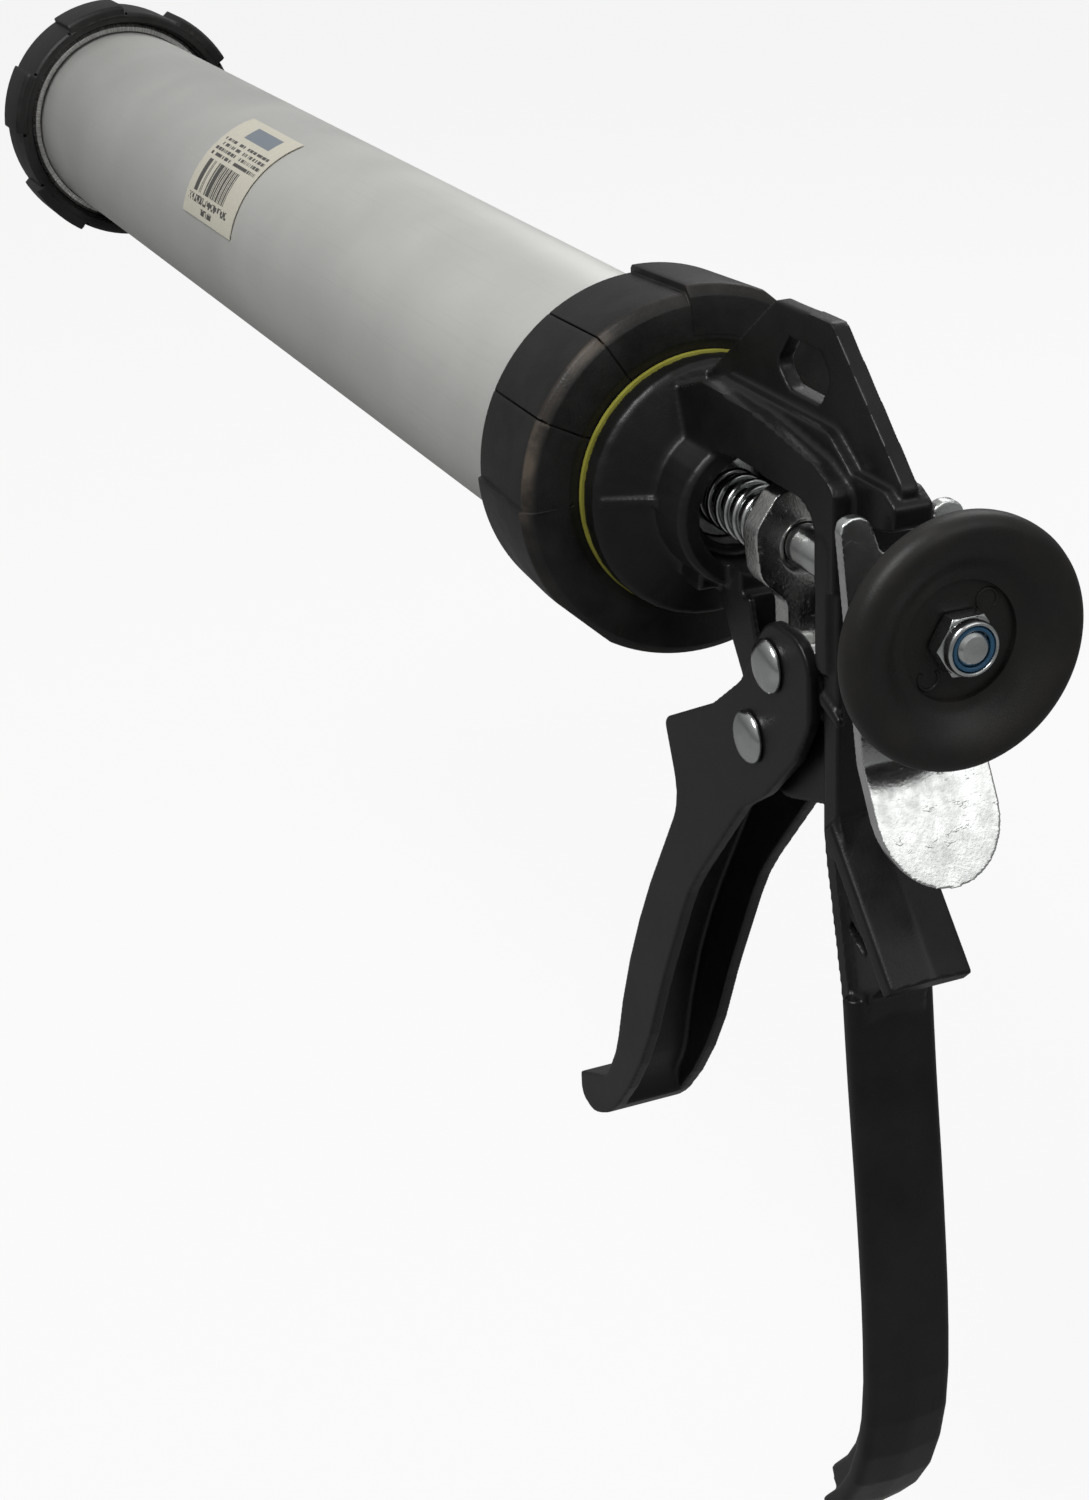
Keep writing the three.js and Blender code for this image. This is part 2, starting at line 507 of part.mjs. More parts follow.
/** Channel-shaped trigger, open at the back, with a lobe at the top and a hook at the bottom. */
function trigger() {
  const outer = across([
    [-41, -16, 5], [-45.2, -11.6, 7], [-56.5, -11.6, 7.5], [-60.4, -16, 6], [-60.4, -27, 7], [-54.8, -36, 10],
    [-43, -47.4, 12], [-33.6, -53.6, 14], [-9, -82, 60], [5, -110, 100], [14.4, -131.6, 60],
    [27.4, -150.4, 50], [37, -159.4, 24], [45, -163, 8], [51.8, -162, 3.4], [51.8, -155.8, 1.2],
    [37.6, -149.6, 8], [31, -140.4, 30], [24.6, -118.4, 90], [13.4, -94.3, 110], [-5.4, -63.6, 12],
    [0.8, -48, 2.4], [-21.4, -36.7, 6], [-33.6, -27.6, 8],
  ], CHEEK_OUT);
  const pocket = across([
    [-100, -4], [-30, -4], [-20.4, -34], [-18.6, -40.6, 3], [-4.4, -48.6, 3], [-9.2, -63.2, 10],
    [10.8, -95.6, 110], [21.8, -119, 90], [28, -141.4, 24], [34.6, -152.8, 8], [29.4, -158.4], [20, -175],
    [-100, -175],
  ], CHEEK_IN);
  const hole = (at, r) => crossPin(at, [[-20, 0], [-20, r], [20, r], [20, 0]]);
  return cut(outer, pocket, hole(PIVOT, PIVOT_R + GAP), hole(DRIVE_PIN, PIN_R + GAP));
}
place('trigger', trigger(), blackCast);

/** Domed rivet across both cheeks, with its shank's radius given. */
function rivet(centre, shankR) {
  const [face, headR, dome] = [CHEEK_OUT + GAP, PIVOT_R + RIVET_HEAD, 2];
  const side = (sign) => [
    [sign * face, shankR], [sign * face, headR - 0.2], [sign * (face + 0.5), headR],
    [sign * (face + 1.3), headR * 0.78], [sign * (face + 1.8), headR * 0.45], [sign * (face + dome), 0],
  ];
  return crossPin(centre, [...side(-1).reverse(), ...side(1)], 24);
}
place('pivot_rivet', rivet(PIVOT, PIVOT_R), zinc);
place('drive_pin', rivet(DRIVE_PIN, PIN_R), zinc);

for (const [name, side] of [['pivot_washer_left', 1], ['pivot_washer_right', -1]]) {
  const [near, far] = [side * (WEB_HALF + GAP), side * (CHEEK_IN - GAP)];
  const washer = crossPin(PIVOT, [[near, PIVOT_R + GAP], [near, PIVOT_R + 3.2], [far, PIVOT_R + 3.2], [far, PIVOT_R + GAP]]);
  place(name, washer, whiteNylon);
}

// ---------------------------------------------------------------- rod catch

/** Thumb plate that hangs under the ear's foot, locks the rod and lets it go when pressed. */
function catchPlate() {
  const half = 11.8;
  const face = new THREE.Shape(rounded([
    [-half, 16.8, 2.6], [-6.2, 16.8, 2.6], [-4.6, 10.4, 1], [4.6, 10.4, 1], [6.2, 16.8, 2.6], [half, 16.8, 2.6],
    [half, -44.8, 11.5], [-half, -44.8, 11.5],
  ], ARC_STEP / 2));
  const strip = across([
    [-73.4, 20], [-82.4, -25, 4], [-96.2, -50], [-98.4, -49], [-84.7, -24.4, 4], [-75.7, 20],
  ], 20);
  const hole = rod(-90, -70, ROD_R + 1.1, 32);
  return cut(endPlate(face, -120, -60).intersect(strip), hole);
}
place('catch_plate', catchPlate(), chrome);

place('catch_spring', coil(-75.4, WALL_BACK - GAP, ROD_R + 1.9, 0.6, 3), zinc);

export default gun;
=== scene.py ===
"""Looks for a foil-pack caulking gun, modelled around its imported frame."""

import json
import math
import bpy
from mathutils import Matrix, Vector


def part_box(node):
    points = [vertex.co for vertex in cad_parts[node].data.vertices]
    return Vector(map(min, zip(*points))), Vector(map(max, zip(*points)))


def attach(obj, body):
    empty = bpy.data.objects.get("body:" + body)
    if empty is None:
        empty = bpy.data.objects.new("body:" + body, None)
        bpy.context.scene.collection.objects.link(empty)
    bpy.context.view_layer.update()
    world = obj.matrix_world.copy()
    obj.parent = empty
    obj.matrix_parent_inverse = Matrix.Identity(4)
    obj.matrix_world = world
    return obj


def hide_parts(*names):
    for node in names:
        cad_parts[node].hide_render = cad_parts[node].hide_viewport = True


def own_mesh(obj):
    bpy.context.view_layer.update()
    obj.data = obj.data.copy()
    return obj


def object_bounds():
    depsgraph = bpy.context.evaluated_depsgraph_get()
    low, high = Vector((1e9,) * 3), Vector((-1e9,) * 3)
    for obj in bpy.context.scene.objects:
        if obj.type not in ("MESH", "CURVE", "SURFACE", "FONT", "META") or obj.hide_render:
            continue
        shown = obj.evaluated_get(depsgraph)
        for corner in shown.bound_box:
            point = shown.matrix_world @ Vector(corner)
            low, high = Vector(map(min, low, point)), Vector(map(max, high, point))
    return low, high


bl_info = {
    "name": "Caulking Gun Builder",
    "version": (1, 0, 0),
    "blender": (4, 5, 0),
    "location": "View3D > Sidebar > Caulking Gun",
    "description": "Models a barrel caulking gun and the studio it stands in",
    "category": "Add Mesh",
}

import bpy
from bpy.props import FloatProperty, FloatVectorProperty, IntProperty, PointerProperty
from mathutils import Matrix, Vector

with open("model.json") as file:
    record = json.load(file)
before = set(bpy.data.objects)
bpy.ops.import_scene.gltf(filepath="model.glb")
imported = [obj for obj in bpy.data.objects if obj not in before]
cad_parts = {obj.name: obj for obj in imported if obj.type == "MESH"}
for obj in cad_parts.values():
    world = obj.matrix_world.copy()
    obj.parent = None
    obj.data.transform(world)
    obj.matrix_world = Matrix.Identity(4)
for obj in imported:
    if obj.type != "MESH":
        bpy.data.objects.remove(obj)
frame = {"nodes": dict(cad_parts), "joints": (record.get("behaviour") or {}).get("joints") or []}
NODES = frame["nodes"]
CAD_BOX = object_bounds()
MM = 0.001
TINY = 1e-6
LEAST_LEFT = 0.25  # share of its faces that a piece keeps when a boolean has worked

# The barrel's axis, at the face where its collar meets the handle.
SPIN = next(joint for joint in frame["joints"] if joint["name"] == "barrel_spin")
SEAT = Vector((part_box("swivel_washer")[0].x + 0.3 * MM, SPIN["pos_m"][1], SPIN["pos_m"][2]))


def place(x, y=0.0, z=0.0):
    """A point given in millimetres from the barrel's seat, in the gun's own frame."""
    return SEAT + Vector((x, y, z)) * MM


# ------------------------------------------------------------------ settings


def colour(name, description, default):
    return FloatVectorProperty(
        name=name, description=description, default=default, size=3, min=0.0, max=1.0, subtype="COLOR"
    )


class GunSettings(bpy.types.PropertyGroup):
    """Sizes and colours of the gun's visible pieces."""

    round_steps: IntProperty(
        name="Round Steps", description="Sides of each turned piece", default=96, min=24, max=256
    )
    casting_grain: FloatProperty(
        name="Casting Detail",
        description="Size of the cells that the castings are rounded with",
        default=0.0005,
        min=0.0003,
        max=0.003,
        unit="LENGTH",
    )
    plate_grain: FloatProperty(
        name="Plate Detail",
        description="Size of the cells that the pressed plates are rounded with",
        default=0.00025,
        min=0.0002,
        max=0.002,
        unit="LENGTH",
    )
    edge_softness: FloatProperty(
        name="Edge Softness",
        description="Width of the rounding on turned edges",
        default=0.0003,
        unit="LENGTH",
    )
    barrel_colour: colour("Barrel", "Anodised aluminium of the barrel", (0.74, 0.74, 0.71))
    casting_colour: colour("Castings", "Satin black of the handle and trigger", (0.0055, 0.0055, 0.0053))
    nylon_colour: colour("Nylon", "Black moulded nylon", (0.0105, 0.0102, 0.0097))
    # The scuff colour also serves as the painted highlight on the collar's lit shoulder in the nylon finish.
    wear_and_highlight_colour: colour("Scuffs", "Dusty wear on the moulded nylon", (0.13, 0.105, 0.082))
    washer_colour: colour("Washer", "Olive washer between barrel and handle", (0.34, 0.33, 0.045))
    paper_colour: colour("Label", "Label paper", (0.72, 0.69, 0.58))


class StageSettings(bpy.types.PropertyGroup):
    """Studio around the gun."""

    lens: FloatProperty(name="Lens", description="Focal length of the camera", default=65.93, unit="CAMERA")
    floor_drop: FloatProperty(
        name="Floor Drop", description="Distance of the floor below the grip", default=0.12, unit="LENGTH"
    )
    floor_colour: colour("Floor", "Colour of the floor", (0.9, 0.9, 0.9))
    floor_glow: FloatProperty(
        name="Floor Glow",
        description="How far the floor is washed out to white where it is seen",
        default=0.86,
    )
    floor_bounce: FloatProperty(
        name="Floor Bounce",
        description="Share of the floor's paleness that lights and reflects in the gun",
        default=0.3,
    )
    sky_colour: colour("Surround", "Colour of the light all round", (1.0, 1.0, 1.0))
    sky_strength: FloatProperty(
        name="Surround Strength", description="Brightness of the light all round", default=0.42
    )


# ------------------------------------------------------------------ modelling helpers


def deselect():
    if bpy.context.object and bpy.context.object.mode != "OBJECT":
        bpy.ops.object.mode_set(mode="OBJECT")
    bpy.ops.object.select_all(action="DESELECT")


def activate(piece):
    deselect()
    piece.select_set(True)
    bpy.context.view_layer.objects.active = piece


def settle():
    """Puts the active piece's place into its mesh."""
    bpy.ops.object.transform_apply(location=True, rotation=True, scale=True)


def turned(name, profile, solid=False, along="X", centre=(0.0, 0.0, 0.0), steps=None):
    """Turns a profile of (along, radius) points, in millimetres, about a line along X or Y."""
    steps = steps or bpy.context.scene.gun_settings.round_steps
    direction = Vector((1, 0, 0)) if along == "X" else Vector((0, 1, 0))
    tilt = (0, math.pi / 2, 0) if along == "X" else (math.pi / 2, 0, 0)
    base = place(*centre)
    here, radius = profile[0]
    deselect()
    bpy.ops.mesh.primitive_circle_add(
        vertices=steps, radius=radius * MM, location=base + direction * here * MM, rotation=tilt
    )
    piece = bpy.context.object
    piece.name = piece.data.name = name
    settle()
    bpy.ops.object.mode_set(mode="EDIT")
    bpy.ops.mesh.select_all(action="SELECT")
    for there, new_radius in profile[1:] if solid else profile[1:] + profile[:1]:
        bpy.ops.mesh.extrude_region_move(TRANSFORM_OT_translate={"value": direction * (there - here) * MM})
        share = new_radius / radius
        scale = (1, share, share) if along == "X" else (share, 1, share)
        bpy.ops.transform.resize(value=scale, center_override=base + direction * there * MM)
        here, radius = there, new_radius
    bpy.ops.mesh.select_all(action="SELECT")
    bpy.ops.mesh.remove_doubles(threshold=TINY)
    if solid:
        bpy.ops.mesh.fill_holes(sides=0)
    bpy.ops.mesh.normals_make_consistent(inside=False)
    bpy.ops.object.mode_set(mode="OBJECT")
    return piece


def copied(piece, name):
    """A copy of a piece with its own mesh."""
    twin = piece.copy()
    twin.data = piece.data.copy()
    twin.name = twin.data.name = name
    bpy.context.scene.collection.objects.link(twin)
    return twin


def tidy_shell():
    """Merges doubled corners of the piece in edit mode, turns its faces outwards and leaves edit mode."""
    bpy.ops.mesh.select_all(action="SELECT")
    bpy.ops.mesh.remove_doubles(threshold=TINY)
    bpy.ops.mesh.normals_make_consistent(inside=False)
    bpy.ops.object.mode_set(mode="OBJECT")


def split(piece, point, normal):
    """Keeps what lies behind a plane, and closes the cut."""
    activate(piece)
    bpy.ops.object.mode_set(mode="EDIT")
    bpy.ops.mesh.select_all(action="SELECT")
    bpy.ops.mesh.bisect(plane_co=point, plane_no=normal, use_fill=True, clear_outer=True)
    tidy_shell()


def sector(piece, start, end):
    """Keeps the part of a turned piece between two angles, in degrees from the left side up."""
    first, last = math.radians(start), math.radians(end)
    split(piece, SEAT, (0, math.sin(first), -math.cos(first)))
    split(piece, SEAT, (0, -math.sin(last), math.cos(last)))


def combine(piece, tools, operation):
    """Joins, cuts or crosses a piece with others, which are used up."""
    for tool in tools:
        faces = len(piece.data.polygons)
        kept = piece.data.copy()
        for solver in ("EXACT", "FAST"):
            activate(piece)
            change = piece.modifiers.new(operation.title(), "BOOLEAN")
            change.operation = operation
            change.solver = solver
            change.object = tool
            bpy.ops.object.modifier_apply(modifier=change.name)
            if len(piece.data.polygons) > faces * LEAST_LEFT:
                break
            piece.data = kept.copy()
        else:
            raise RuntimeError(f"{operation} left too little of {piece.name}")
        bpy.data.objects.remove(tool)
    return piece


def slab(name, size, middle, turn=0.0):
    """A square-edged cutter, turned about the barrel's axis after it is placed."""
    deselect()
    bpy.ops.mesh.primitive_cube_add(size=1, location=place(*middle), scale=[side * MM for side in size])
    piece = bpy.context.object
    piece.name = name
    settle()
    spin_about_axis(piece, turn)
    return piece


def spin_about_axis(piece, degrees):
    turn = Matrix.Rotation(math.radians(degrees), 4, "X")
    piece.data.transform(Matrix.Translation(SEAT) @ turn @ Matrix.Translation(-SEAT))


def soften(piece, width=None, angle=40.0, segments=2):
    """Rounds the sharp edges of a piece."""
    activate(piece)
    rounding = piece.modifiers.new("Rounding", "BEVEL")
    rounding.width = width or bpy.context.scene.gun_settings.edge_softness
    rounding.segments = segments
    rounding.limit_method = "ANGLE"
    rounding.angle_limit = math.radians(angle)
    rounding.use_clamp_overlap = False
    bpy.ops.object.modifier_apply(modifier=rounding.name)
    return piece


def moulded(name, node, cell, passes=1, share=0.34):
    """A copy of a CAD piece with the rounded edges of a casting or a pressing."""
    piece = copied(NODES[node], name)
    piece.parent = None
    for key in list(piece.keys()):
        del piece[key]
    piece.data.materials.clear()
    activate(piece)
    bpy.ops.object.mode_set(mode="EDIT")
    bpy.ops.mesh.select_all(action="SELECT")
    bpy.ops.mesh.remove_doubles(threshold=TINY)
    bpy.ops.object.mode_set(mode="OBJECT")
    shell = piece.modifiers.new("Shell", "REMESH")
    shell.mode = "VOXEL"
    shell.voxel_size = cell
    bpy.ops.object.modifier_apply(modifier=shell.name)
    ease = piece.modifiers.new("Ease", "SMOOTH")
    ease.factor = 0.5
    ease.iterations = passes
    bpy.ops.object.modifier_apply(modifier=ease.name)
    thin = piece.modifiers.new("Thin", "DECIMATE")
    thin.ratio = share
    bpy.ops.object.modifier_apply(modifier=thin.name)
    return piece


def finish_piece(piece, body, nodes, material, angle=35.0):
    """Shades a piece, gives it its finish and lets it move with its body."""
    activate(piece)
    bpy.ops.object.shade_smooth_by_angle(angle=math.radians(angle))
    piece.data.materials.clear()
    piece.data.materials.append(material)
    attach(piece, body)
    if nodes:
        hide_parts(*nodes)
    return piece


def repaint(node, material):
    """Gives a CAD piece that stays a better finish."""
    piece = NODES[node]
    if not piece.material_slots:
        piece.data.materials.append(material)
    for holder in piece.material_slots:
        holder.material = material


# ------------------------------------------------------------------ shader building


class Wiring:
    """Adds nodes to a node tree and links them."""

    def __init__(self, tree):
        self.tree = tree

    def add(self, kind, **values):
        node = self.tree.nodes.new(kind)
        for name, value in values.items():
            setattr(node, name, value)
        return node

    def feed(self, socket, value):
        if isinstance(value, bpy.types.NodeSocket):
            self.tree.links.new(value, socket)
        elif isinstance(value, (tuple, list)) and len(value) == 3 and socket.type == "RGBA":
            socket.default_value = (*value, 1.0)
        else:
            socket.default_value = value

    def maths(self, operation, first, second=0.0, third=None, clamp=False):
        node = self.add("ShaderNodeMath", operation=operation, use_clamp=clamp)
        self.feed(node.inputs[0], first)
        self.feed(node.inputs[1], second)
        if third is not None:
            self.feed(node.inputs[2], third)
        return node.outputs[0]

    def ramp(self, value, low, high, to_low=0.0, to_high=1.0):
        node = self.add("ShaderNodeMapRange", clamp=True)
        for socket, number in zip(node.inputs, (value, low, high, to_low, to_high)):
            self.feed(socket, number)
        return node.outputs[0]

    def mix(self, share, first, second):
        node = self.add("ShaderNodeMix", data_type="RGBA")
        self.feed(node.inputs[0], share)
        self.feed(node.inputs[6], first)
        self.feed(node.inputs[7], second)
        return node.outputs[2]

    def noise(self, where, scale, detail=4.0, roughness=0.55):
        node = self.add("ShaderNodeTexNoise")
        self.feed(node.inputs["Vector"], where)
        self.feed(node.inputs["Scale"], scale)
        self.feed(node.inputs["Detail"], detail)
        self.feed(node.inputs["Roughness"], roughness)
        return node.outputs[0]

    def between(self, value, low, high):
        """1 where the value lies between two limits."""
        above = self.maths("GREATER_THAN", value, low)
        return self.maths("MULTIPLY", above, self.maths("LESS_THAN", value, high))


def node_group(name, inputs, outputs):
    """A shader group with named float, vector or colour sockets."""
    group = bpy.data.node_groups.new(name, "ShaderNodeTree")
    kinds = {"float": "NodeSocketFloat", "vector": "NodeSocketVector", "colour": "NodeSocketColor"}
    for socket, (kind, default) in inputs.items():
        made = group.interface.new_socket(name=socket, in_out="INPUT", socket_type=kinds[kind])
        made.default_value = default
    for socket, kind in outputs.items():
        group.interface.new_socket(name=socket, in_out="OUTPUT", socket_type=kinds[kind])
    wiring = Wiring(group)
    return group, wiring, wiring.add("NodeGroupInput").outputs, wiring.add("NodeGroupOutput").inputs


def build_grain():
    """Fine even roughness, as of a blasted, cast or moulded skin."""
    group, wiring, given, put = node_group(
        "Fine Grain",
        {"Vector": ("vector", (0, 0, 0)), "Scale": ("float", 900.0), "Blotch Scale": ("float", 60.0)},
        {"Height": "float", "Blotch": "float"},
    )
    wiring.feed(put["Height"], wiring.noise(given["Vector"], given["Scale"], 2.0, 0.6))
    wiring.feed(put["Blotch"], wiring.noise(given["Vector"], given["Blotch Scale"], 5.0, 0.6))
    return group


def build_scratches():
    """Long thin marks, where 1 is a mark."""
    group, wiring, given, put = node_group(
        "Scratches",
        {
            "Vector": ("vector", (0, 0, 0)),
            "Stretch": ("vector", (1, 1, 1)),
            "Scale": ("float", 400.0),
            "Amount": ("float", 0.3),
        },
        {"Mask": "float"},
    )
    stretched = wiring.add("ShaderNodeVectorMath", operation="MULTIPLY")
    wiring.feed(stretched.inputs[0], given["Vector"])
    wiring.feed(stretched.inputs[1], given["Stretch"])
    lines = wiring.noise(stretched.outputs[0], given["Scale"], 3.0, 0.7)
    level = wiring.maths("SUBTRACT", 0.78, wiring.maths("MULTIPLY", given["Amount"], 0.3))
    wiring.feed(put["Mask"], wiring.ramp(lines, level, wiring.maths("ADD", level, 0.06)))
    return group


def build_wear():
    """Wear on raised edges, broken up by noise, where 1 is bare."""
    group, wiring, given, put = node_group(
        "Edge Wear",
        {
            "Vector": ("vector", (0, 0, 0)),
            "Level": ("float", 0.54),
            "Spread": ("float", 0.05),
            "Scale": ("float", 180.0),
        },
        {"Mask": "float"},
    )
    shape = wiring.add("ShaderNodeNewGeometry").outputs["Pointiness"]
    edge = wiring.ramp(shape, given["Level"], wiring.maths("ADD", given["Level"], given["Spread"]))
    broken = wiring.ramp(wiring.noise(given["Vector"], given["Scale"], 4.0, 0.65), 0.4, 0.65)
    wiring.feed(put["Mask"], wiring.maths("MULTIPLY", edge, broken))
    return group


def place_group(wiring, group, **values):
    node = wiring.add("ShaderNodeGroup", node_tree=group)
    for name, value in values.items():
        wiring.feed(node.inputs[name.replace("_", " ")], value)
    return node.outputs


GROUPS = {}


def start_finish(name, roughness, metallic=0.0, **sockets):
    """An empty material with a shader, its wiring and object coordinates."""
    material = bpy.data.materials.new(name)
    material.use_nodes = True
    shader = material.node_tree.nodes["Principled BSDF"]
    shader.inputs["Roughness"].default_value = roughness
    shader.inputs["Metallic"].default_value = metallic
    for socket, value in sockets.items():
        shader.inputs[socket.replace("_", " ")].default_value = value
    wiring = Wiring(material.node_tree)
    where = wiring.add("ShaderNodeTexCoord").outputs["Object"]
    return material, shader, wiring, where


def add_bump(wiring, shader, height, strength, distance):
    bump = wiring.add("ShaderNodeBump")
    bump.inputs["Strength"].default_value = strength
    bump.inputs["Distance"].default_value = distance
    wiring.feed(bump.inputs["Height"], height)
    wiring.feed(shader.inputs["Normal"], bump.outputs[0])


def round_place(wiring, where):
    """Millimetres along, radius in millimetres and angle about the barrel's axis."""
    parts = wiring.add("ShaderNodeSeparateXYZ")
    wiring.feed(parts.inputs[0], where)
    along = wiring.maths("MULTIPLY", wiring.maths("SUBTRACT", parts.outputs[0], SEAT.x), 1000.0)
    left = wiring.maths("MULTIPLY", parts.outputs[1], 1000.0)
    up = wiring.maths("MULTIPLY", wiring.maths("SUBTRACT", parts.outputs[2], SEAT.z), 1000.0)
    radius = wiring.maths(
        "SQRT", wiring.maths("ADD", wiring.maths("MULTIPLY", left, left), wiring.maths("MULTIPLY", up, up))
    )
    return along, radius, wiring.maths("ARCTAN2", up, left)


def casting_finish(settings):
    """Satin black coating over a die casting, polished a little on its edges."""
    material, shader, wiring, where = start_finish("Black Casting", 0.36, 0.0, Specular_IOR_Level=0.38)
    grain = place_group(wiring, GROUPS["grain"], Vector=where, Scale=2600.0, Blotch_Scale=55.0)
    wear = place_group(wiring, GROUPS["wear"], Vector=where, Level=0.56, Spread=0.12, Scale=220.0)["Mask"]
    marks = place_group(
        wiring, GROUPS["scratches"], Vector=where, Stretch=(0.25, 1, 1), Scale=700.0, Amount=0.1
    )
    base = tuple(settings.casting_colour)
    lighter = tuple(min(1.0, c * 1.7 + 0.004) for c in base)
    skin = wiring.mix(wiring.ramp(grain["Blotch"], 0.35, 0.7), base, lighter)
    worn = wiring.mix(wiring.maths("MULTIPLY", wear, 0.55), skin, (0.07, 0.07, 0.068))
    scratched = wiring.mix(wiring.maths("MULTIPLY", marks["Mask"], 0.25), worn, (0.08, 0.08, 0.078))
    wiring.feed(shader.inputs["Base Color"], scratched)
    wiring.feed(shader.inputs["Roughness"], wiring.ramp(grain["Blotch"], 0.3, 0.7, 0.3, 0.44))
    add_bump(wiring, shader, grain["Height"], 0.25, 0.00012)
    return material


def nylon_finish(settings):
    """Scuffed glass-filled nylon, dusty on worn edges and scratches, with a painted highlight in the scuff
    colour on the lit upper-left of the collar's rear shoulder.
    """
    material, shader, wiring, where = start_finish("Black Nylon", 0.45, Specular_IOR_Level=0.35)
    along, radius, angle = round_place(wiring, where)
    grain = place_group(wiring, GROUPS["grain"], Vector=where, Scale=1800.0, Blotch_Scale=90.0)
    wear = place_group(wiring, GROUPS["wear"], Vector=where, Level=0.55, Spread=0.1, Scale=300.0)["Mask"]
    marks = place_group(
        wiring, GROUPS["scratches"], Vector=where, Stretch=(1, 0.2, 0.2), Scale=500.0, Amount=0.25
    )
    # Painted highlight: the collar's rear shoulder chamfer is lightened in the scuff colour here. This is
    # painted light, not wear.
    shoulder = wiring.maths(
        "MULTIPLY",
        wiring.maths("MULTIPLY", wiring.ramp(radius, 34.0, 34.8), wiring.ramp(along, 3.9, 3.0)),
        wiring.ramp(along, 1.0, 1.9),
    )
    # Only the upper-left arc of the shoulder gets the painted highlight. This arc faces the key lamp and the
    # camera.
    stretch = wiring.maths("MULTIPLY", wiring.ramp(angle, -0.15, 0.05), wiring.ramp(angle, 1.3, 0.9))
    painted_shoulder_highlight = wiring.maths("MULTIPLY", shoulder, wiring.ramp(grain["Blotch"], 0.42, 0.6, 0.25, 1.0))
    painted_shoulder_highlight = wiring.maths("MULTIPLY", painted_shoulder_highlight, wiring.ramp(stretch, 0.0, 1.0, 0.12, 1.0))
    base = tuple(settings.nylon_colour)
    lighter = tuple(min(1.0, c * 1.9 + 0.004) for c in base)
    skin = wiring.mix(wiring.ramp(grain["Blotch"], 0.38, 0.68), base, lighter)
    skin = wiring.mix(wiring.maths("MULTIPLY", wear, 0.5), skin, tuple(settings.wear_and_highlight_colour))
    skin = wiring.mix(wiring.maths("MULTIPLY", marks["Mask"], 0.3), skin, tuple(settings.wear_and_highlight_colour))
    # Mixes in the painted highlight on the collar's lit shoulder.
    skin = wiring.mix(wiring.maths("MULTIPLY", painted_shoulder_highlight, 0.85, clamp=True), skin, tuple(settings.wear_and_highlight_colour))
    wiring.feed(shader.inputs["Base Color"], skin)
    wiring.feed(shader.inputs["Roughness"], wiring.ramp(grain["Blotch"], 0.3, 0.7, 0.36, 0.55))
    add_bump(wiring, shader, grain["Height"], 0.3, 0.00018)
    return material


def knob_finish(settings):
    """Warm dark grey nylon with a fine even grain."""
    material, shader, wiring, where = start_finish("Knob Nylon", 0.5, Specular_IOR_Level=0.4)
    grain = place_group(wiring, GROUPS["grain"], Vector=where, Scale=2400.0, Blotch_Scale=120.0)
    marks = place_group(
        wiring, GROUPS["scratches"], Vector=where, Stretch=(1, 0.3, 1), Scale=650.0, Amount=0.15
    )
    base = tuple(settings.nylon_colour)
    warm = (base[0] * 2.0, base[1] * 1.9, base[2] * 1.75)
    skin = wiring.mix(wiring.ramp(grain["Blotch"], 0.35, 0.7), tuple(c * 1.35 for c in base), warm)
    scratched = wiring.mix(wiring.maths("MULTIPLY", marks["Mask"], 0.25), skin, (0.1, 0.095, 0.09))
    wiring.feed(shader.inputs["Base Color"], scratched)
    wiring.feed(shader.inputs["Roughness"], wiring.ramp(grain["Blotch"], 0.3, 0.7, 0.4, 0.52))
    add_bump(wiring, shader, grain["Height"], 0.3, 0.00015)
    return material


def anodised_finish(settings):
    """Satin anodising with a faint drawn grain along the tube."""
    material, shader, wiring, where = start_finish("Anodised Aluminium", 0.42, 0.45)
    grain = place_group(wiring, GROUPS["grain"], Vector=where, Scale=3000.0, Blotch_Scale=24.0)
    marks = place_group(
        wiring, GROUPS["scratches"], Vector=where, Stretch=(0.02, 1, 1), Scale=900.0, Amount=0.7
    )
    base = tuple(settings.barrel_colour)
    darker = tuple(c * 0.93 for c in base)
    skin = wiring.mix(wiring.ramp(grain["Blotch"], 0.35, 0.65), darker, base)
    dull = tuple(c * 0.8 for c in base)
    scratched = wiring.mix(wiring.maths("MULTIPLY", marks["Mask"], 0.12), skin, dull)
    wiring.feed(shader.inputs["Base Color"], scratched)
    wiring.feed(shader.inputs["Roughness"], wiring.ramp(grain["Blotch"], 0.3, 0.7, 0.4, 0.47))
    add_bump(wiring, shader, grain["Height"], 0.12, 0.00005)
    return material


def zinc_finish(name, colour_value, low, high, bump, stretch=(1, 1, 1)):
    """Bright plating with uneven gloss and fine marks."""
    material, shader, wiring, where = start_finish(name, low, 1.0)
    grain = place_group(wiring, GROUPS["grain"], Vector=where, Scale=1500.0, Blotch_Scale=240.0)
    marks = place_group(wiring, GROUPS["scratches"], Vector=where, Stretch=stretch, Scale=900.0, Amount=0.5)
    dull = tuple(c * 0.82 for c in colour_value)
    skin = wiring.mix(wiring.ramp(grain["Blotch"], 0.4, 0.7), colour_value, dull)
    scratched = wiring.mix(wiring.maths("MULTIPLY", marks["Mask"], 0.3), skin, dull)
    wiring.feed(shader.inputs["Base Color"], scratched)
    wiring.feed(shader.inputs["Roughness"], wiring.ramp(grain["Blotch"], 0.3, 0.7, low, high))
    add_bump(wiring, shader, wiring.maths("ADD", grain["Height"], marks["Mask"]), bump, 0.0001)
    return material


